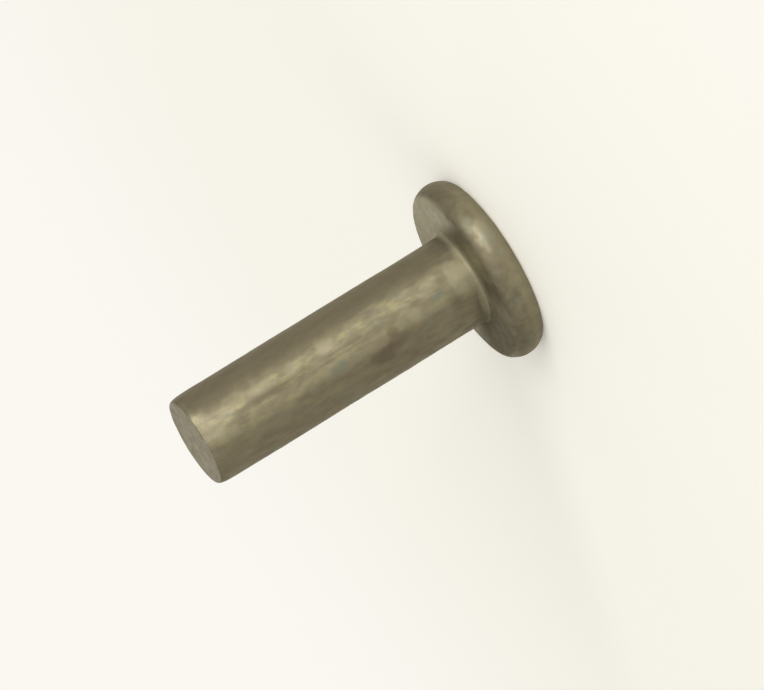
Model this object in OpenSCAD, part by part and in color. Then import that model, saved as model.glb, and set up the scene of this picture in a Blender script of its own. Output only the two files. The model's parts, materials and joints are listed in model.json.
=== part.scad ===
// Flat-head tong rivet, upset and sheared from round bar in one piece.
// It stands on its head: the head's outer face lies on Z = 0 and the shank points up, along +Z.
// All lengths are in millimetres and all angles in degrees.

/* [Shank] */
// Diameter of the shank
shank_d = 7.94; // [5:0.01:12]
// Length of the shank under the head
shank_l = 26.1; // [15:0.1:60]
// Radius of the fillet where the shank meets the head
fillet_r = 0.45; // [0.2:0.05:1]
// Radius that the shear leaves round the edge of the free end
end_edge_r = 0.25; // [0.1:0.05:0.6]

/* [Head] */
// Largest diameter of the head, at the middle of its rim
head_d = 16; // [14:0.1:24]
// Thickness of the head
head_h = 2.75; // [2:0.05:5]
// How far the rim swells out past the edges of its two faces, from the upsetting blow
rim_bulge = 0.55; // [0.1:0.05:0.9]
// Radius of the rim's edge on the bearing side
bearing_edge_r = 0.6; // [0.2:0.05:0.9]
// Radius of the rim's edge on the outer face
outer_edge_r = 0.55; // [0.2:0.05:0.9]

/* [Shear flat] */
// Width, across the shank, of the flat that the shear pressed beside the free end
shear_flat_w = 2.8; // [1:0.1:3.5]
// Length of that flat along the shank, until it runs out
shear_flat_l = 4; // [2:0.1:8]
// Direction in which the flat faces, turned about the shank from +X
shear_flat_turn = 300; // [0:1:359]

/* [Hidden] */
$fn = 96;

STEEL = "#7d745e";

shank_r = shank_d / 2;
head_r = head_d / 2;
head_mid_z = head_h / 2;
free_end_z = head_h + shank_l;

// The rim's crown is an arc that stands out by the bulge over its chord between the two faces.
crown_r = (pow(head_mid_z, 2) + pow(rim_bulge, 2)) / (2 * rim_bulge);
crown_x = head_r - crown_r;

// Each edge of the rim is an arc of radius r that touches its face and, from inside, the crown.
// This is the distance of that arc's centre from the axis,
function edge_x(r) = crown_x + sqrt(pow(crown_r - r, 2) - pow(head_mid_z - r, 2));
// and this is how far from mid thickness it runs into the crown.
function edge_meets_crown(r) = (head_mid_z - r) * crown_r / (crown_r - r);

// The shear flat is a plane. It cuts a chord of the stated width out of the free end
// and climbs back to the surface of the shank over the stated length.
shear_flat_depth = shank_r - sqrt(pow(shank_r, 2) - pow(shear_flat_w / 2, 2));
shear_flat_slope = atan(shear_flat_depth / shear_flat_l);

// Half of the head's section. X is the radius and Y the height above the outer face.
module head_section() {
    // the core, up to the centres of the two edge rounds
    square([edge_x(outer_edge_r), head_mid_z]);
    translate([0, head_mid_z])
        square([edge_x(bearing_edge_r), head_mid_z]);
    // the two rounded edges
    translate([edge_x(outer_edge_r), outer_edge_r])
        circle(outer_edge_r);
    translate([edge_x(bearing_edge_r), head_h - bearing_edge_r])
        circle(bearing_edge_r);
    // the crowned band between them
    intersection() {
        translate([crown_x, head_mid_z])
            circle(crown_r);
        translate([0, head_mid_z - edge_meets_crown(outer_edge_r)])
            square([head_r, edge_meets_crown(outer_edge_r) + edge_meets_crown(bearing_edge_r)]);
    }
}

// Half of the shank's section, from the head's outer face to the rounded edge of the free end.
module shank_section() {
    square([shank_r - end_edge_r, free_end_z]);
    square([shank_r, free_end_z - end_edge_r]);
    translate([shank_r - end_edge_r, free_end_z - end_edge_r])
        circle(end_edge_r);
}

// Half of the fillet's section: a square in the corner under the head, with a round bite.
module fillet_section() {
    translate([shank_r, head_h])
        difference() {
            translate([-fillet_r, -fillet_r])
                square(2 * fillet_r);
            translate([fillet_r, fillet_r])
                circle(fillet_r);
        }
}

// Block whose inner side is the plane of the shear flat. It reaches as far again past the free end
// and below the flat, so that only that plane cuts.
module shear_cut() {
    rotate([0, 0, shear_flat_turn])
        translate([shank_r - shear_flat_depth, 0, free_end_z])
            rotate([0, -shear_flat_slope, 0])
                translate([0, -shank_r, -2 * shear_flat_l])
                    cube([shank_r, shank_d, 3 * shear_flat_l]);
}

// The whole rivet, one solid piece of steel.
module rivet() {
    color(STEEL)
        difference() {
            rotate_extrude()
                union() {
                    head_section();
                    shank_section();
                    fillet_section();
                }
            shear_cut();
        }
}

rivet();
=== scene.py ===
import json
import math

import bmesh
import bpy
from bpy.props import FloatProperty, FloatVectorProperty, IntProperty, PointerProperty
from bpy.types import Operator, Panel, PropertyGroup
from mathutils import Matrix, Vector


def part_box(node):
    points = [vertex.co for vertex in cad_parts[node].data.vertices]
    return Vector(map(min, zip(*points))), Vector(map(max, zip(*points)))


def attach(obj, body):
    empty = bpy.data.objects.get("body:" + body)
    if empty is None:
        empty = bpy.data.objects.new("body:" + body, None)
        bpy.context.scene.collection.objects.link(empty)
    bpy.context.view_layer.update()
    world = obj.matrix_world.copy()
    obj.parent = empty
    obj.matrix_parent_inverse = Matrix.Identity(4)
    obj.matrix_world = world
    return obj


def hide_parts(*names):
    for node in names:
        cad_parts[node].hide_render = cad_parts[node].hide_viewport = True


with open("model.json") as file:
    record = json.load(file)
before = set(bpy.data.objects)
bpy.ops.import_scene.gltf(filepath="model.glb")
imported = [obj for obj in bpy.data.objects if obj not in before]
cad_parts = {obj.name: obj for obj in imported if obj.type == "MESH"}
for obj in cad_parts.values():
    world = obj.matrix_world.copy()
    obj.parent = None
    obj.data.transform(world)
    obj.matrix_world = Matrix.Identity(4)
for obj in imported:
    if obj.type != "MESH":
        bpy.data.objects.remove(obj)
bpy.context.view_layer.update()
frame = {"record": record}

bl_info = {
    "name": "Tong Rivet",
    "version": (1, 0, 0),
    "blender": (4, 5, 0),
    "location": "View3D > Sidebar > Tong Rivet",
    "description": "Models a worn flat-head tong rivet and a plain pale stage round it",
    "category": "Object",
}

MM = 0.001
NODE = "rivet"
BODY = "root"

# What the frame says of the rivet: it stands on its head, with the shank along +Z.
LOW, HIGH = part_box(NODE)
MOUNTS = {mount["name"]: mount for mount in frame["record"]["mounts"]}
HEAD_RADIUS = (HIGH.x - LOW.x) / 2
HEAD_HEIGHT = MOUNTS["bearing_face"]["pos_m"][2]
SHANK_RADIUS = MOUNTS["shank"]["dims"]["r_mm"] * MM
FREE_END = HIGH.z

# Where the camera stands round the rivet, from -Y towards +X. The marks on the steel are placed
# by their turn from that side, towards the camera's right.
CAMERA_AZIMUTH = math.radians(20)

# The picture that the camera frames, and where the centre of the free end lies in it.
PICTURE_WIDTH = 764
PICTURE_HEIGHT = 690
FREE_END_PIXEL = (194.8, 442.9)
PIXELS_PER_MM = 12.48
SENSOR_WIDTH = 36.0

# Nearest and farthest place that the camera shows, in metres.
CAMERA_CLIP = (0.01, 10)

# Steps of the section's arcs, and the pitch of the points on its straight stretches.
EDGE_STEPS = 5
CROWN_STEPS = 14
FILLET_STEPS = 6
END_STEPS = 4
FACE_PITCH = 0.22 * MM
SHANK_PITCH = 0.2 * MM

# The shear flat is pressed down to this many times its length. Then the shank is smoothed from
# so far below that to so far from the free end, by this factor and in this many passes.
FLAT_REACH = 1.2
SMOOTH_BELOW = 1 * MM
SMOOTH_FROM_END = 0.1 * MM
SMOOTH_FACTOR = 0.5
SMOOTH_PASSES = 36

# Wavelengths of the unevenness and of the pits, the octaves of both, and the sharpest angle that
# is shaded smooth.
WAVE_LENGTH = 5 * MM
PIT_LENGTH = 0.8 * MM
OCTAVES = 2
SMOOTH_ANGLE = math.radians(40)

# Heights that differ by less than this are the same.
SAME_HEIGHT = 0.0001 * MM

# How the steel reflects, and the height and strength of its grain.
STEEL_METALLIC = 0.8
STEEL_SPECULAR = 0.4
STEEL_TINT = (0.85, 0.83, 0.76, 1)
GRAIN_HEIGHT = 0.03 * MM
GRAIN_STRENGTH = 0.5

# The floor, in metres: its size, its roughness and reflection, and the distances from the
# rivet's axis between which it runs out into the backdrop.
FLOOR_SIZE = 3.4
FLOOR_ROUGHNESS = 0.9
FLOOR_SPECULAR = 0.1
FLOOR_ENDS = (0.03, 0.16)

# Colour of the light from all sides, and of the backdrop.
BACKDROP = (1, 0.98, 0.92)

# The lamps: name, turn from the camera's side and height (degrees), distance from the middle of
# the rivet, width and height (metres), and the setting that holds the power.
LAMPS = (
    ("key", 28, 14, 0.8, 0.5, 0.55, "key_power"),
    ("fill", -65, 22, 0.8, 0.6, 0.5, "fill_power"),
    ("back", 180, 20, 0.7, 0.7, 0.4, "back_power"),
)


def facing(turn, height=0.0):
    """Unit vector away from the axis at this turn from the camera's side, raised by height."""
    azimuth = CAMERA_AZIMUTH + turn
    level = Vector((math.sin(azimuth), -math.cos(azimuth), 0))
    return level * math.cos(height) + Vector((0, 0, 1)) * math.sin(height)


# ------------------------------------------------------------------ settings


class RivetSizes(PropertyGroup):
    """Sizes of the rivet that the frame doesn't state"""

    rim_bulge: FloatProperty(
        name="Rim bulge", description="How far the rim swells out past its two faces",
        default=0.55 * MM, min=0.1 * MM, max=0.9 * MM, subtype="DISTANCE", unit="LENGTH")
    bearing_edge: FloatProperty(
        name="Bearing edge", description="Radius of the rim's edge on the shank's side",
        default=0.6 * MM, min=0.2 * MM, max=0.9 * MM, subtype="DISTANCE", unit="LENGTH")
    outer_edge: FloatProperty(
        name="Outer edge", description="Radius of the rim's edge on the outer face",
        default=0.55 * MM, min=0.2 * MM, max=0.9 * MM, subtype="DISTANCE", unit="LENGTH")
    fillet: FloatProperty(
        name="Fillet", description="Radius of the fillet between the shank and the head",
        default=0.35 * MM, min=0.2 * MM, max=1 * MM, subtype="DISTANCE", unit="LENGTH")
    end_edge: FloatProperty(
        name="End edge", description="Radius left by the shear round the free end",
        default=0.35 * MM, min=0.1 * MM, max=0.6 * MM, subtype="DISTANCE", unit="LENGTH")
    flat_width: FloatProperty(
        name="Shear flat width", description="Width of the flat beside the free end",
        default=2.8 * MM, min=1 * MM, max=3.5 * MM, subtype="DISTANCE", unit="LENGTH")
    flat_length: FloatProperty(
        name="Shear flat length", description="Length over which the flat runs out",
        default=4 * MM, min=2 * MM, max=8 * MM, subtype="DISTANCE", unit="LENGTH")
    flat_turn: FloatProperty(
        name="Shear flat turn", description="Where the flat faces, from the camera's side",
        default=math.radians(10), subtype="ANGLE", unit="ROTATION")
    unevenness: FloatProperty(
        name="Unevenness", description="Height of the slow waves in the surface",
        default=0.08 * MM, min=0, max=0.3 * MM, subtype="DISTANCE", unit="LENGTH")
    pitting: FloatProperty(
        name="Pitting", description="Height of the fine pits in the surface",
        default=0.03 * MM, min=0, max=0.1 * MM, subtype="DISTANCE", unit="LENGTH")
    segments: IntProperty(
        name="Segments", description="Number of sides round the rivet, a multiple of four",
        default=192, min=32, max=256)


class RivetFinish(PropertyGroup):
    """Colours and gloss of the worn steel"""

    steel: FloatVectorProperty(
        name="Steel", description="Dull olive grey of the bare steel",
        default=(0.228, 0.199, 0.128), size=3, min=0, max=1, subtype="COLOR")
    dark_film: FloatVectorProperty(
        name="Dark film", description="Brown film left where the steel isn't rubbed",
        default=(0.160, 0.136, 0.088), size=3, min=0, max=1, subtype="COLOR")
    # This colour is laid as worn steel, and also as painted highlight and painted light on the
    # fillet, the head's faces, the rim's outer edge and in some of the marks.
    wear_and_highlight: FloatVectorProperty(
        name="Worn steel", description="Lighter steel on rubbed and pressed places",
        default=(0.36, 0.325, 0.215), size=3, min=0, max=1, subtype="COLOR")
    cool_spots: FloatVectorProperty(
        name="Cool spots", description="Greenish grey of scattered spots",
        default=(0.19, 0.20, 0.15), size=3, min=0, max=1, subtype="COLOR")
    warm_spots: FloatVectorProperty(
        name="Warm spots", description="Straw brown of scattered spots",
        default=(0.24, 0.205, 0.115), size=3, min=0, max=1, subtype="COLOR")
    straw: FloatVectorProperty(
        name="Straw", description="Yellower tone of some of the rubbed spots",
        default=(0.37, 0.35, 0.16), size=3, min=0, max=1, subtype="COLOR")
    # This colour is painted shade, laid in the corner under the head and on the left part of the
    # bearing face.
    painted_shade: FloatVectorProperty(
        name="Grime", description="Dark brown of what lies on the head, round the shank",
        default=(0.085, 0.072, 0.046), size=3, min=0, max=1, subtype="COLOR")
    rust: FloatVectorProperty(
        name="Rust", description="Reddish brown of a few small stains",
        default=(0.105, 0.076, 0.05), size=3, min=0, max=1, subtype="COLOR")
    roughness: FloatProperty(
        name="Roughness", description="Middle roughness of the steel",
        default=0.52, min=0, max=1, subtype="FACTOR")


class RivetStage(PropertyGroup):
    """Floor, lamps, light from all sides and camera"""

    floor_colour: FloatVectorProperty(
        name="Floor", description="Colour of the plain floor",
        default=(0.90, 0.885, 0.82), size=3, min=0, max=1, subtype="COLOR")
    floor_glow: FloatProperty(
        name="Floor lift", description="Light added to the floor where it is seen directly",
        default=0.23, min=0, max=1)
    world_level: FloatProperty(
        name="World level", description="Strength of the even light from all sides",
        default=0.52, min=0, max=2)
    backdrop_level: FloatProperty(
        name="Backdrop level", description="Brightness of the backdrop where it is seen",
        default=0.955, min=0, max=1)
    key_power: FloatProperty(
        name="Key lamp", description="Power of the large soft lamp",
        default=5.6, min=0, max=50, unit="POWER")
    fill_power: FloatProperty(
        name="Fill lamp", description="Power of the weak soft lamp across from the key",
        default=0.6, min=0, max=50, unit="POWER")
    back_power: FloatProperty(
        name="Back lamp", description="Power of the soft lamp behind the rivet",
        default=0.85, min=0, max=50, unit="POWER")
    camera_tilt: FloatProperty(
        name="Camera height", description="Angle at which the camera looks onto the free end",
        default=math.radians(13.5), subtype="ANGLE", unit="ROTATION")
    camera_roll: FloatProperty(
        name="Camera roll", description="How far the rivet's axis leans in the picture",
        default=math.radians(31.6), subtype="ANGLE", unit="ROTATION")
    camera_distance: FloatProperty(
        name="Camera distance", description="From the camera to the plane of the free end",
        default=0.5, min=0.2, max=2, subtype="DISTANCE", unit="LENGTH")


# Single marks on the steel, worn, cool, rusty or dark, and some lighter ones that are painted
# highlights, as noted below: height and turn of the middle, half the height and half the angle
# covered (millimetres and degrees), strength, and colour in the finish.
MARKS = (
    # The first two are painted highlights on the shear flat and the free end's edge.
    (28.35, 17, 0.4, 8, 0.40, "wear_and_highlight"),
    (27.9, 8, 0.7, 10, 0.28, "wear_and_highlight"),
    (27.1, -12, 1.2, 9, 0.45, "wear_and_highlight"),
    # A long strip left of the band, partly rubbed steel and partly painted highlight.
    (14.0, -11, 11.5, 9, 0.30, "wear_and_highlight"),
    (22.5, 15, 1.5, 8, 0.26, "wear_and_highlight"),
    (19.6, 16, 0.8, 8, 0.25, "wear_and_highlight"),
    (16.5, 17, 0.9, 8, 0.35, "wear_and_highlight"),
    (13.8, 20, 1.0, 8, 0.30, "wear_and_highlight"),
    (8.9, -7, 0.6, 8, 0.35, "wear_and_highlight"),
    (6.6, 19, 0.9, 9, 0.22, "wear_and_highlight"),
    # The next three are painted highlights: above the fillet, on the rim's crown, and along the
    # fillet on the left.
    (3.7, 4, 1.3, 24, 0.62, "wear_and_highlight"),
    (1.25, 17, 0.7, 9, 0.50, "wear_and_highlight"),
    (3.1, -42, 0.45, 22, 0.60, "wear_and_highlight"),
    (1.2, -16, 0.6, 5, 0.30, "wear_and_highlight"),
    (16.3, -15, 0.9, 8, 0.60, "cool_spots"),
    (6.4, -3, 0.6, 6, 0.60, "cool_spots"),
    (1.3, 12, 0.8, 6, 0.60, "cool_spots"),
    (12.4, -32, 1.4, 10, 0.68, "rust"),
    (10.9, -23, 1.0, 8, 0.50, "rust"),
    (11.1, -9, 0.6, 7, 0.45, "rust"),
    (5.3, -19, 0.6, 12, 0.45, "dark_film"),
    (5.4, 14, 0.5, 9, 0.40, "dark_film"),
    (26.9, 27, 0.9, 10, 0.75, "dark_film"),
    (23.8, 27, 0.6, 7, 0.50, "dark_film"),
    (13.4, 29, 0.7, 7, 0.50, "dark_film"),
    (2.2, 9, 0.4, 13, 0.45, "dark_film"),
    (1.7, 4, 0.5, 10, 0.32, "dark_film"),
)

# The squared distance from a mark's middle at which the mark ends and at which it is full, where
# 1 is its half height or half angle, and how far the wander moves that border.
MARK_END = 1.5
MARK_FULL = 0.1
MARK_WANDER = 2.2

# From here on, heights and radii are in millimetres and turns in radians, positive to the right
# of the camera's side.
TOP = FREE_END / MM

# Radii between which the shank passes into the head, and the scale along the shank of patterns
# that are laid on the drawn out place.
SHANK_EDGE = (4.6, 4.1)
DRAWN_OUT = 0.42

# Middle value of a noise, in the material and in the surface's unevenness.
MIDDLE = 0.5

# Noise on the steel: where it is laid, waves in a millimetre, detail, roughness, the scale along
# each axis (less than 1 draws the waves out), and a shift that keeps it apart from the others.
PATTERNS = {
    "wander_noise": ("place", 0.9, 3, 0.5, (1, 1, 1), (7, 3, 1)),
    "mottle": ("drawn_out", 1.3, 3, 0.55, (1, 1, 1), (0, 0, 0)),
    "slow": ("place", 0.22, 2, 0.5, (1, 1, 1), (3, 8, 5)),
    "streak_noise": ("place", 2.4, 3, 0.6, (1, 1, 0.10), (2, 5, 0)),
    "specks": ("drawn_out", 3.2, 2, 0.5, (1, 1, 1), (0, 0, 0)),
    "cool": ("place", 0.8, 2, 0.5, (1, 1, 1), (11, 4, 9)),
    "warm": ("drawn_out", 1.5, 2, 0.5, (1, 1, 1), (1, 14, 4)),
    "cut": ("place", 2.4, 3, 0.6, (0.16, 1, 1), (4, 0, 2)),
    "fleck_noise": ("drawn_out", 1.7, 2, 0.5, (1, 1, 1), (0, 2, 6)),
    "grain": ("place", 7.0, 3, 0.65, (1, 1, 0.3), (0, 0, 0)),
}

# How far the wander moves the borders of the band of rubbed steel and painted highlight, of the
# unrubbed strip, of the drawn line and of the film on the left.
BAND_WANDER = 0.35
UNRUBBED_WANDER = 0.3
LINE_WANDER = 0.12
FILM_WANDER = 0.5

# Two heights and two turns: the middle of the band of rubbed steel and painted highlight lies at the
# first turn up to the first height and at the second from the second height on. Towards the head the
# band grows wider.
BAND_MIDDLE = (17, 22, 0.12, -0.03)
BAND_WIDER = (6.5, 3.5, 0, 0.18)

# The drawn line crosses this height at this turn, and leans by so much for each millimetre.
LINE_HEIGHT = 24
LINE_TURN = 0.07
LINE_LEAN = -0.004

# Middle of the fillet, and the part of the painted shade that runs all the way round the corner.
FILLET_HEIGHT = 3.05
PAINTED_SHADE_ALL_ROUND = 0.25

# Zones of the steel, each the product of its rows. A row is another zone or pattern by name, or
# what is followed, the value at which the zone ends, the value at which it is full, and, where
# they aren't 0 and 1, the strengths at the two.
ZONES = {
    # Everything but the free end's face, and the shank alone.
    "off_face": (("radius", 3.3, 3.7),),
    "on_shank": (("radius", *SHANK_EDGE), "off_face"),
    # Mottling all over, with streaks along the shank.
    "film_mottle": (("mottle", 0.72, 0.28, 0.12, 0.72),),
    "slow_film": (("slow", 0.60, 0.35, 0, 0.35),),
    "bright_streaks": (("streaks", 0.50, 0.78, 0, 0.22),),
    "dark_streaks": (("streaks", 0.45, 0.22, 0, 0.30),),
    "cool_places": (("cool", 0.56, 0.70, 0, 0.6),),
    "warm_places": (("warm", 0.52, 0.70, 0, 0.55),),
    # The face of the sheared end, with fine lines along the cut.
    "sheared_end": (("height", TOP - 0.3, TOP - 0.1), ("radius", 3.85, 3.55)),
    "bare_cut": (("cut", 0.30, 0.70, 0.40, 0.90),),
    "cut_lines": ("cut", "sheared_end"),
    # The band along the camera's side, partly rubbed steel and partly a painted highlight, with
    # flecks of brighter and yellower steel in it.
    "rubbed": (("rub_turn", 0.50, 0.18), "on_shank", ("height", 28.5, 25.0, 0.55, 1)),
    "flecks": (("fleck_noise", 0.38, 0.72, 0.25, 1), ("rubbed", 0, 1, 0.1, 0.42)),
    "yellow": (("warm", 0.44, 0.72, 0, 0.34), "rubbed"),
    # The darker strip of the shank to the right of the band.
    "unrubbed": (
        ("unrubbed_turn", 0.32, 0.74), "on_shank", ("turn", 2.2, 1.6), ("height", 3.5, 6.5, 0.5, 1)),
    # A dull drawn line in the band, fading out towards the head.
    "drawn_line": (
        ("line_turn", 0.14, 0.02), ("height", 9.5, 14.0), ("height", 25.2, 23.0),
        ("streaks", 0.65, 0.35, 0.25, 1.0)),
    # The rounded edge of the sheared end, rubbed unevenly.
    "end_edge": (
        ("radius", 3.3, 3.6), ("radius", 4.0, 3.8), ("height", TOP - 0.6, TOP - 0.3),
        ("mottle", 0.35, 0.65, 0.3, 1.0)),
    # The darker film on the left side of the shank, from the stain to the head.
    "left_film": (
        ("film_turn", -0.18, -0.42), ("height", 12.5, 10.5, 0.5, 1), ("turn", -2.6, -1.8),
        "off_face", ("height", 6.0, 9.5, 0.0, 0.5)),
    # The head: the right part of its bearing face and the rim's outer edge are lightened as painted
    # light, and the rim is duller on both sides.
    "painted_face_light": (
        ("height", 2.4, 2.7), ("turn", 0.6, 1.0), ("turn", 2.6, 1.9), ("height", 3.4, 2.9)),
    "outer_edge": (("height", 1.5, 0.8), ("radius", 6.5, 7.4)),
    "right_rim": (("turn", 0.75, 1.15), ("turn", 2.4, 1.8), ("height", 2.7, 2.2)),
    "left_rim": (("turn", -0.45, -1.05), ("turn", -2.6, -1.9), ("height", 2.7, 2.2)),
    # Painted shade in the corner under the head, mostly on the camera's side.
    "camera_side": (("turn", 1.15, 0.75), ("turn", -0.8, -0.3)),
    "corner": (("height", 2.90, 2.77), ("radius", 5.8, 4.3), "grime_round"),
    # The fillet above it, with a painted highlight.
    "fillet": (
        ("off_fillet", 0.5, 0.1), ("radius", 4.9, 4.5), ("turn", 0.95, 0.5), ("turn", -1.5, -1.1)),
    "painted_fillet_highlight": ("fillet", ("turn", -0.35, 0.05, 0.45, 0.80)),
    # Dull painted shade on the left part of the bearing face.
    "left_painted_shade": (
        ("turn", -0.35, -0.9), ("radius", 7.7, 7.1), ("turn", -2.6, -1.9), ("height", 2.95, 2.8),
        ("height", 1.9, 2.3)),
}

# The colours laid on the steel before the marks and after them, in order: zone, colour and share.
# Cut steel is mixed from two colours of the finish.
UNDER_MARKS = (
    ("film_mottle", "dark_film", 1),
    ("slow_film", "dark_film", 1),
    ("bright_streaks", "wear_and_highlight", 1),
    ("dark_streaks", "dark_film", 1),
    ("cool_places", "cool_spots", 1),
    ("warm_places", "warm_spots", 1),
    ("sheared_end", "cut_steel", 0.8),
    ("flecks", "wear_and_highlight", 1),
    ("yellow", "straw", 1),
    ("unrubbed", "dark_film", 0.7),
    ("drawn_line", "dark_film", 0.95),
)
OVER_MARKS = (
    ("end_edge", "wear_and_highlight", 0.34),
    ("left_film", "dark_film", 1),
    # Painted light on the right part of the bearing face.
    ("painted_face_light", "wear_and_highlight", 0.60),
    # Painted light on the rim's outer edge, where the floor shades it.
    ("outer_edge", "wear_and_highlight", 0.38),
    ("right_rim", "dark_film", 0.60),
    ("left_rim", "dark_film", 0.38),
    # Painted shade in the corner under the head.
    ("corner", "painted_shade", 0.18),
    # Painted highlight on the fillet.
    ("painted_fillet_highlight", "wear_and_highlight", 1),
    # Painted shade on the left part of the bearing face.
    ("left_painted_shade", "painted_shade", 0.40),
)

# Roughness: between these values of the mottling it falls from GLOSS_RANGE above the setting to
# as much below it. GLOSS is what patterns and zones add, each times its share. SPECK_MIDDLE is
# what the specks add on average, and is taken off again.
GLOSS_MOTTLE = (0.3, 0.7)
GLOSS_RANGE = 0.05
SPECK_MIDDLE = 0.05
GLOSS = (
    ("specks", 0.10),
    ("flecks", -0.08),
    ("corner", 0.2),
    ("left_painted_shade", 0.3),
    ("fillet", 0.2),
)

# Grain, by height: streaks along the bar, a fine matt grain, the lines of the cut, and the drawn
# line, which lies lower.
GRAIN = (
    ("streaks", 0.6),
    ("grain", 0.4),
    ("cut_lines", 0.4),
    ("drawn_line", -0.5),
)


# ------------------------------------------------------------------ nodes


def node(tree, kind, values=None, **settings):
    """Adds a shader node, with its inputs set to numbers or wired to other nodes' outputs."""
    made = tree.nodes.new(kind)
    for name, setting in settings.items():
        setattr(made, name, setting)
    for name, value in (values or {}).items():
        if isinstance(value, bpy.types.NodeSocket):
            tree.links.new(value, made.inputs[name])
        else:
            made.inputs[name].default_value = value
    return made


def calculate(tree, operation, first, second=0.0, third=0.0):
    """Math on numbers or outputs."""
    made = node(tree, "ShaderNodeMath", {0: first, 1: second, 2: third}, operation=operation)
    return made.outputs[0]


def product(tree, first, *others):
    """Numbers or outputs multiplied in turn."""
    result = first
    for other in others:
        result = calculate(tree, "MULTIPLY", result, other)
    return result


def fade(tree, value, none, full, low=0.0, high=1.0):
    """Changes smoothly from low to high as the value goes from none to full."""
    if none > full:
        none, full, low, high = full, none, high, low
    ranges = {"Value": value, "From Min": none, "From Max": full, "To Min": low, "To Max": high}
    made = node(tree, "ShaderNodeMapRange", ranges, interpolation_type="SMOOTHSTEP")
    return made.outputs["Result"]


def blend_colour(tree, share, first, second):
    """Mixes two colours, given as outputs or as settings of the finish."""
    made = tree.nodes.new("ShaderNodeMix")
    made.data_type = "RGBA"
    # The node has sockets for each type of value. These are its factor and its two colours, and
    # the third output is the mixed colour.
    factor, colour_a, colour_b = made.inputs[0], made.inputs[6], made.inputs[7]
    for socket, value in ((factor, share), (colour_a, first), (colour_b, second)):
        if isinstance(value, bpy.types.NodeSocket):
            tree.links.new(value, socket)
        else:
            socket.default_value = (*value, 1)
    return made.outputs[2]


def noise(tree, place, scale, detail, roughness, stretch, shift):
    """Noise with so many waves in a millimetre, drawn out along an axis where stretch is small."""
    spread = node(tree, "ShaderNodeMapping", {"Vector": place, "Scale": stretch, "Location": shift})
    values = {"Vector": spread.outputs[0], "Scale": scale, "Detail": detail, "Roughness": roughness}
    return node(tree, "ShaderNodeTexNoise", values, normalize=True).outputs["Fac"]


# ------------------------------------------------------------------ steel


class Steel(dict):
    """What layers of the steel can follow, by name. Patterns and zones are made on first use."""

    def __init__(self, tree):
        super().__init__()
        self.tree = tree

    def __missing__(self, name):
        if name in PATTERNS:
            place, *values = PATTERNS[name]
            self[name] = noise(self.tree, self[place], *values)
        else:
            self[name] = product(self.tree, *map(self.row, ZONES[name]))
        return self[name]

    def row(self, row):
        """One row of a zone: another zone or pattern, or a fade of what it follows."""
        if isinstance(row, str):
            return self[row]
        followed, *values = row
        return fade(self.tree, self[followed], *values)

    def astray(self, value, reach):
        """A value that the wander moves up and down, so that a zone's border is uneven."""
        return calculate(self.tree, "MULTIPLY_ADD", self["wander"], reach, value)


def measured_steel(tree):
    """Measures the steel in millimetres, round the axis from the camera's side."""
    steel = Steel(tree)
    # +X is the camera's side of the rivet, and +Y the camera's right.
    values = {
        "Vector": tree.nodes.new("ShaderNodeTexCoord").outputs["Object"],
        "Rotation": (0, 0, math.pi / 2 - CAMERA_AZIMUTH),
        "Scale": (1 / MM,) * 3,
    }
    steel["place"] = node(tree, "ShaderNodeMapping", values).outputs[0]
    x, y, z = node(tree, "ShaderNodeSeparateXYZ", {0: steel["place"]}).outputs
    steel["height"] = z
    steel["turn"] = calculate(tree, "ARCTAN2", y, x)
    squares = calculate(tree, "MULTIPLY_ADD", x, x, product(tree, y, y))
    steel["radius"] = calculate(tree, "SQRT", squares)
    along = product(tree, z, fade(tree, steel["radius"], *SHANK_EDGE, 1.0, DRAWN_OUT))
    steel["drawn_out"] = node(tree, "ShaderNodeCombineXYZ", {0: x, 1: y, 2: along}).outputs[0]

    # The wander is about zero, and the streaks keep to the shank.
    steel["wander"] = calculate(tree, "SUBTRACT", steel["wander_noise"], MIDDLE)
    streaks = calculate(tree, "SUBTRACT", steel["streak_noise"], MIDDLE)
    steel["streaks"] = calculate(tree, "MULTIPLY_ADD", streaks, steel["on_shank"], MIDDLE)
    return steel


def add_borders(steel):
    """Adds what the borders of zones follow, most of it made uneven."""
    tree, turn, height = steel.tree, steel["turn"], steel["height"]
    off_middle = calculate(tree, "SUBTRACT", turn, fade(tree, height, *BAND_MIDDLE))
    off_middle = steel.astray(calculate(tree, "ABSOLUTE", off_middle), BAND_WANDER)
    steel["rub_turn"] = calculate(tree, "SUBTRACT", off_middle, fade(tree, height, *BAND_WIDER))

    below = calculate(tree, "SUBTRACT", LINE_HEIGHT, height)
    line = calculate(tree, "MULTIPLY_ADD", below, LINE_LEAN, LINE_TURN)
    off_line = steel.astray(calculate(tree, "SUBTRACT", turn, line), LINE_WANDER)
    steel["line_turn"] = calculate(tree, "ABSOLUTE", off_line)

    steel["unrubbed_turn"] = steel.astray(turn, UNRUBBED_WANDER)
    steel["film_turn"] = steel.astray(turn, FILM_WANDER)
    off_fillet = calculate(tree, "SUBTRACT", height, FILLET_HEIGHT)
    steel["off_fillet"] = calculate(tree, "ABSOLUTE", off_fillet)
    steel["grime_round"] = calculate(
        tree, "MULTIPLY_ADD", steel["camera_side"], 1 - PAINTED_SHADE_ALL_ROUND, PAINTED_SHADE_ALL_ROUND)


def lay(steel, finish, colour, layers):
    """Lays colours on their zones, one over the other."""
    tree = steel.tree
    for zone, name, share in layers:
        if name == "cut_steel":
            over = blend_colour(tree, steel["bare_cut"], finish.dark_film, finish.steel)
        else:
            over = getattr(finish, name)
        colour = blend_colour(tree, product(tree, steel[zone], share), colour, over)
    return colour


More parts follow.
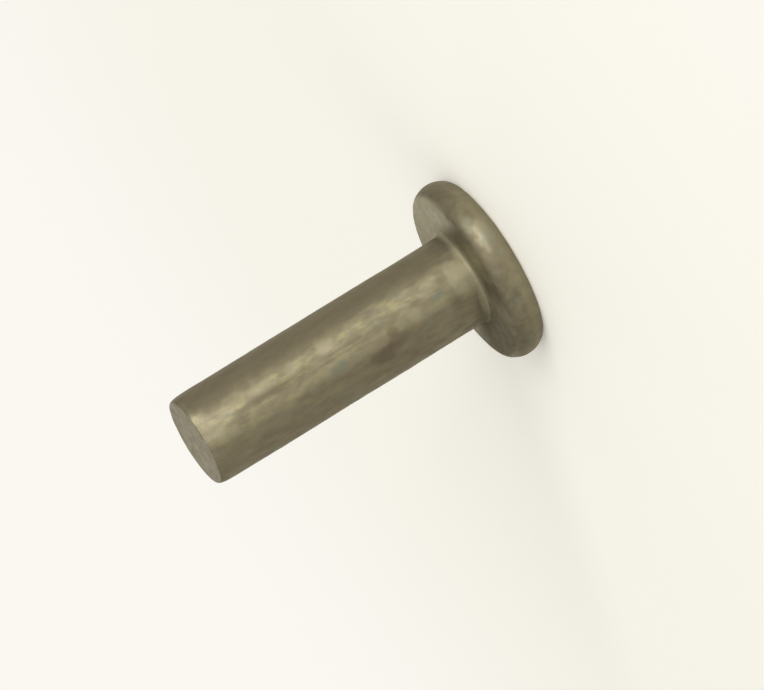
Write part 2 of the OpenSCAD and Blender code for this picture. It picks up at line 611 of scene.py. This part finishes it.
def lay_marks(steel, finish, colour):
    """Lays the single marks: each an uneven oval round its middle."""
    tree = steel.tree
    for height, turn, half_height, half_turn, share, name in MARKS:
        up = calculate(tree, "SUBTRACT", steel["height"], height)
        up = calculate(tree, "DIVIDE", up, half_height)
        round_by = calculate(tree, "SUBTRACT", steel["turn"], math.radians(turn))
        round_by = calculate(tree, "DIVIDE", round_by, math.radians(half_turn))
        squares = calculate(tree, "MULTIPLY_ADD", up, up, product(tree, round_by, round_by))
        oval = fade(tree, steel.astray(squares, MARK_WANDER), MARK_END, MARK_FULL, 0, share)
        spot = product(tree, oval, steel["off_face"])
        colour = blend_colour(tree, spot, colour, getattr(finish, name))
    return colour


def add_up(steel, start, shares):
    """Adds zones and patterns to a value, each times its share."""
    total = start
    for name, share in shares:
        total = calculate(steel.tree, "MULTIPLY_ADD", steel[name], share, total)
    return total


def worn_steel(finish):
    """Mottled, handled steel with a dull satin gloss."""
    material = bpy.data.materials.new("worn_steel")
    material.use_nodes = True
    tree = material.node_tree
    shader = tree.nodes["Principled BSDF"]
    steel = measured_steel(tree)
    add_borders(steel)

    colour = lay(steel, finish, finish.steel, UNDER_MARKS)
    colour = lay_marks(steel, finish, colour)
    colour = lay(steel, finish, colour, OVER_MARKS)
    tree.links.new(colour, shader.inputs["Base Color"])

    dull, glossy = finish.roughness + GLOSS_RANGE, finish.roughness - GLOSS_RANGE
    gloss = fade(tree, steel["mottle"], *GLOSS_MOTTLE, dull, glossy)
    gloss = calculate(tree, "SUBTRACT", gloss, SPECK_MIDDLE)
    tree.links.new(add_up(steel, gloss, GLOSS), shader.inputs["Roughness"])
    shader.inputs["Metallic"].default_value = STEEL_METALLIC
    shader.inputs["Specular IOR Level"].default_value = STEEL_SPECULAR
    shader.inputs["Specular Tint"].default_value = STEEL_TINT

    height = add_up(steel, 0.0, GRAIN)
    values = {"Height": height, "Strength": GRAIN_STRENGTH, "Distance": GRAIN_HEIGHT}
    bump = node(tree, "ShaderNodeBump", values)
    tree.links.new(bump.outputs[0], shader.inputs["Normal"])
    return material


# ------------------------------------------------------------------ modelling


def begin(name):
    """Names the new primitive, which is the active object, and opens it in edit mode."""
    piece = bpy.context.object
    piece.name = name
    piece.data.name = name
    bpy.ops.object.mode_set(mode="EDIT")
    bpy.ops.mesh.select_mode(type="VERT")
    return piece


def pick(piece, wanted):
    """Selects the vertices for which wanted(place) holds, and nothing else."""
    mesh = bmesh.from_edit_mesh(piece.data)
    for vertex in mesh.verts:
        vertex.select_set(wanted(vertex.co))
    mesh.select_flush(True)
    mesh.select_flush(False)
    bmesh.update_edit_mesh(piece.data)


def arc(centre, radius, first, last, steps):
    """Points (radius, height) along an arc of the section, the first one left out."""
    angles = [first + (last - first) * step / steps for step in range(1, steps + 1)]
    across, up = centre
    return [(across + radius * math.cos(a), up + radius * math.sin(a)) for a in angles]


def line(start, end, pitch):
    """Points along a straight stretch of the section, a pitch apart, the first one left out."""
    steps = max(1, round(math.dist(start, end) / pitch))
    across, up = end[0] - start[0], end[1] - start[1]
    shares = [step / steps for step in range(1, steps + 1)]
    return [(start[0] + across * share, start[1] + up * share) for share in shares]


def section(sizes):
    """The rivet's outline (radius, height), from the outer face's edge to the free end's edge."""
    middle = HEAD_HEIGHT / 2
    crown = (middle**2 + sizes.rim_bulge**2) / (2 * sizes.rim_bulge)
    crown_centre = HEAD_RADIUS - crown

    def edge_centre(radius):
        return crown_centre + math.sqrt((crown - radius) ** 2 - (middle - radius) ** 2)

    def edge_angle(radius):
        return math.atan2(middle - radius, edge_centre(radius) - crown_centre)

    outer, bearing, fillet, end = sizes.outer_edge, sizes.bearing_edge, sizes.fillet, sizes.end_edge
    quarter = math.pi / 2
    points = [(edge_centre(outer), 0)]
    points += arc((edge_centre(outer), outer), outer, -quarter, -edge_angle(outer), EDGE_STEPS)
    rim = (crown_centre, middle)
    points += arc(rim, crown, -edge_angle(outer), edge_angle(bearing), CROWN_STEPS)
    edge = (edge_centre(bearing), HEAD_HEIGHT - bearing)
    points += arc(edge, bearing, edge_angle(bearing), quarter, EDGE_STEPS)
    points += line(points[-1], (SHANK_RADIUS + fillet, HEAD_HEIGHT), FACE_PITCH)
    corner = (SHANK_RADIUS + fillet, HEAD_HEIGHT + fillet)
    points += arc(corner, fillet, -quarter, -2 * quarter, FILLET_STEPS)
    points += line(points[-1], (SHANK_RADIUS, FREE_END - end), SHANK_PITCH)
    points += arc((SHANK_RADIUS - end, FREE_END - end), end, 0, quarter, END_STEPS)
    return points


def pull_section(piece, points):
    """Draws the ring of the primitive along the outline, one extrusion for each point."""
    pick(piece, lambda place: True)
    for (radius, height), (next_radius, next_height) in zip(points, points[1:]):
        rise = (0, 0, next_height - height)
        bpy.ops.mesh.extrude_edges_move(TRANSFORM_OT_translate={"value": rise})
        share = next_radius / radius
        bpy.ops.transform.resize(value=(share, share, 1), center_override=(0, 0, next_height))


def close_end(piece, height, segments):
    """Fills one end with a grid of quads, a quarter of the ring along each side."""
    pick(piece, lambda place: abs(place.z - height) < SAME_HEIGHT)
    bpy.ops.mesh.fill_grid(span=segments // 4)


def press_flat(piece, sizes):
    """Presses the shear flat beside the free end, and smooths it into the shank."""
    depth = SHANK_RADIUS - math.sqrt(SHANK_RADIUS**2 - (sizes.flat_width / 2) ** 2)
    slope = math.atan(depth / sizes.flat_length)
    normal = facing(sizes.flat_turn, slope)
    foot = facing(sizes.flat_turn) * (SHANK_RADIUS - depth) + Vector((0, 0, FREE_END))
    lowest = FREE_END - FLAT_REACH * sizes.flat_length
    # What stands proud of the flat's plane is levelled onto it, along the plane's normal.
    pick(piece, lambda place: place.z > lowest and (place - foot).dot(normal) > 0)
    side = normal.cross(Vector((0, 0, 1))).normalized()
    axes = Matrix((normal, side, side.cross(normal))).transposed()
    bpy.ops.transform.resize(value=(0, 1, 1), orient_matrix=axes, center_override=foot)
    pick(piece, lambda place: lowest - SMOOTH_BELOW < place.z < FREE_END - SMOOTH_FROM_END)
    bpy.ops.mesh.vertices_smooth(factor=SMOOTH_FACTOR, repeat=SMOOTH_PASSES, zaxis=False)


def settle(piece):
    """Levels what hangs below the outer face, so that the rivet rests on it."""
    bpy.ops.object.mode_set(mode="EDIT")
    pick(piece, lambda place: place.z < 0)
    bpy.ops.transform.resize(value=(1, 1, 0), center_override=(0, 0, 0))
    bpy.ops.object.mode_set(mode="OBJECT")


def roughen(piece, name, height, wave):
    """Raises and lowers the surface by a cloudy pattern with waves of this length."""
    clouds = bpy.data.textures.new(name, "CLOUDS")
    clouds.noise_scale = wave
    clouds.noise_depth = OCTAVES
    modifier = piece.modifiers.new(name, "DISPLACE")
    modifier.texture = clouds
    modifier.texture_coords = "LOCAL"
    modifier.strength = height
    modifier.mid_level = MIDDLE
    bpy.ops.object.modifier_apply(modifier=name)


class TONG_RIVET_OT_model_rivet(Operator):
    """Models the rivet from its section and gives it worn steel"""

    bl_idname = "tong_rivet.model_rivet"
    bl_label = "Model the rivet"

    def execute(self, context):
        sizes = context.scene.rivet_sizes
        points = section(sizes)
        bpy.ops.object.select_all(action="DESELECT")
        first_radius, first_height = points[0]
        bpy.ops.mesh.primitive_circle_add(
            vertices=sizes.segments, radius=first_radius, fill_type="NOTHING",
            location=(0, 0, first_height))
        piece = begin("headed_rivet")
        pull_section(piece, points)
        close_end(piece, first_height, sizes.segments)
        close_end(piece, FREE_END, sizes.segments)
        pick(piece, lambda place: True)
        bpy.ops.mesh.normals_make_consistent(inside=False)
        press_flat(piece, sizes)
        bpy.ops.object.mode_set(mode="OBJECT")
        roughen(piece, "waves", sizes.unevenness, WAVE_LENGTH)
        roughen(piece, "pits", sizes.pitting, PIT_LENGTH)
        settle(piece)
        bpy.ops.object.shade_smooth_by_angle(angle=SMOOTH_ANGLE)
        piece.data.materials.append(worn_steel(context.scene.rivet_finish))
        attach(piece, BODY)
        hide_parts(NODE)
        return {"FINISHED"}


# ------------------------------------------------------------------ stage


def set_camera(stage):
    """Puts the camera where the axis leans as it should and the free end is at its pixel."""
    tilt, roll, distance = stage.camera_tilt, stage.camera_roll, stage.camera_distance
    axis = Vector((0, 0, 1))
    left = facing(0).cross(axis)
    back = facing(0, tilt)
    away = facing(0) * math.sin(tilt) - axis * math.cos(tilt)
    right = away * math.cos(roll) + left * math.sin(roll)
    up = away * math.sin(roll) - left * math.cos(roll)
    pixel = MM / PIXELS_PER_MM
    across = (FREE_END_PIXEL[0] - PICTURE_WIDTH / 2) * pixel
    down = (FREE_END_PIXEL[1] - PICTURE_HEIGHT / 2) * pixel
    place = axis * FREE_END - right * across + up * down + back * distance
    bpy.ops.object.camera_add()
    camera = bpy.context.object
    camera.name = "camera"
    camera.data.sensor_width = SENSOR_WIDTH
    camera.data.lens = SENSOR_WIDTH * distance / (PICTURE_WIDTH * pixel)
    camera.data.clip_start, camera.data.clip_end = CAMERA_CLIP
    axes = Matrix((right, up, back)).transposed()
    camera.matrix_world = Matrix.Translation(place) @ axes.to_4x4()
    bpy.context.scene.camera = camera


def pale_floor(stage):
    """Plain pale floor, lifted towards white where it is seen directly or in the steel."""
    material = bpy.data.materials.new("pale_floor")
    material.use_nodes = True
    tree = material.node_tree
    shader = tree.nodes["Principled BSDF"]
    shader.inputs["Base Color"].default_value = (*stage.floor_colour, 1)
    shader.inputs["Roughness"].default_value = FLOOR_ROUGHNESS
    shader.inputs["Specular IOR Level"].default_value = FLOOR_SPECULAR
    shader.inputs["Emission Color"].default_value = (*stage.floor_colour, 1)
    rays = tree.nodes.new("ShaderNodeLightPath").outputs
    seen = calculate(tree, "MAXIMUM", rays["Is Camera Ray"], rays["Is Transmission Ray"])
    seen = calculate(tree, "MAXIMUM", seen, rays["Is Glossy Ray"])
    glow = product(tree, seen, stage.floor_glow)
    tree.links.new(glow, shader.inputs["Emission Strength"])

    # Far from the rivet the floor runs out into the backdrop.
    source = tree.nodes.new("ShaderNodeTexCoord").outputs["Object"]
    length = node(tree, "ShaderNodeVectorMath", {0: source}, operation="LENGTH")
    share = product(tree, seen, fade(tree, length.outputs["Value"], *FLOOR_ENDS))
    values = {"Color": (*BACKDROP, 1), "Strength": stage.backdrop_level}
    backdrop = node(tree, "ShaderNodeEmission", values)
    values = {0: share, 1: shader.outputs[0], 2: backdrop.outputs[0]}
    mixed = node(tree, "ShaderNodeMixShader", values)
    tree.links.new(mixed.outputs[0], tree.nodes["Material Output"].inputs["Surface"])
    return material


def hang_lamp(name, turn, height, distance, size, power):
    """Hangs a large soft lamp that faces the middle of the rivet, with its angles in degrees."""
    back = facing(math.radians(turn), math.radians(height))
    target = Vector((0, 0, FREE_END / 2))
    bpy.ops.object.light_add(type="AREA")
    lamp = bpy.context.object
    lamp.name = name
    lamp.data.shape = "RECTANGLE"
    lamp.data.size, lamp.data.size_y = size
    lamp.data.energy = power
    right = Vector((0, 0, 1)).cross(back).normalized()
    axes = Matrix((right, back.cross(right), back)).transposed()
    lamp.matrix_world = Matrix.Translation(target + back * distance) @ axes.to_4x4()
    lamp.visible_camera = False


def light_all_round(scene, stage):
    """Even light from all sides, with the backdrop where the camera sees past the floor."""
    world = bpy.data.worlds.new("even_light")
    scene.world = world
    world.use_nodes = True
    tree = world.node_tree
    background = tree.nodes["Background"]
    background.inputs["Color"].default_value = (*BACKDROP, 1)
    seen = tree.nodes.new("ShaderNodeLightPath").outputs["Is Camera Ray"]
    level = fade(tree, seen, 0, 1, stage.world_level, stage.backdrop_level)
    tree.links.new(level, background.inputs["Strength"])


class TONG_RIVET_OT_set_stage(Operator):
    """Sets the camera, lays the floor, hangs the lamps and lights the scene all round"""

    bl_idname = "tong_rivet.set_stage"
    bl_label = "Set the stage"

    def execute(self, context):
        stage = context.scene.rivet_stage
        set_camera(stage)
        bpy.ops.object.select_all(action="DESELECT")
        bpy.ops.mesh.primitive_plane_add(size=FLOOR_SIZE, location=(0, 0, 0))
        floor = context.object
        floor.name = "floor"
        floor.data.materials.append(pale_floor(stage))
        for name, turn, height, distance, width, tall, power in LAMPS:
            hang_lamp(name, turn, height, distance, (width, tall), getattr(stage, power))
        light_all_round(context.scene, stage)
        context.scene.view_settings.view_transform = "Standard"
        return {"FINISHED"}


# ------------------------------------------------------------------ panel and registration


class TONG_RIVET_PT_sidebar(Panel):
    """Lists the rivet's settings and its operators"""

    bl_label = "Tong Rivet"
    bl_idname = "TONG_RIVET_PT_sidebar"
    bl_space_type = "VIEW_3D"
    bl_region_type = "UI"
    bl_category = "Tong Rivet"

    def draw(self, context):
        scene = context.scene
        for group in (scene.rivet_sizes, scene.rivet_finish, scene.rivet_stage):
            box = self.layout.box()
            for name in group.__annotations__:
                box.prop(group, name)
        self.layout.operator(TONG_RIVET_OT_model_rivet.bl_idname)
        self.layout.operator(TONG_RIVET_OT_set_stage.bl_idname)


CLASSES = (
    RivetSizes,
    RivetFinish,
    RivetStage,
    TONG_RIVET_OT_model_rivet,
    TONG_RIVET_OT_set_stage,
    TONG_RIVET_PT_sidebar,
)


def register():
    for each in CLASSES:
        bpy.utils.register_class(each)
    bpy.types.Scene.rivet_sizes = PointerProperty(type=RivetSizes)
    bpy.types.Scene.rivet_finish = PointerProperty(type=RivetFinish)
    bpy.types.Scene.rivet_stage = PointerProperty(type=RivetStage)


def unregister():
    del bpy.types.Scene.rivet_stage
    del bpy.types.Scene.rivet_finish
    del bpy.types.Scene.rivet_sizes
    for each in reversed(CLASSES):
        bpy.utils.unregister_class(each)


def main():
    register()
    bpy.ops.tong_rivet.model_rivet()
    bpy.ops.tong_rivet.set_stage()


if __name__ == "__main__":
    main()
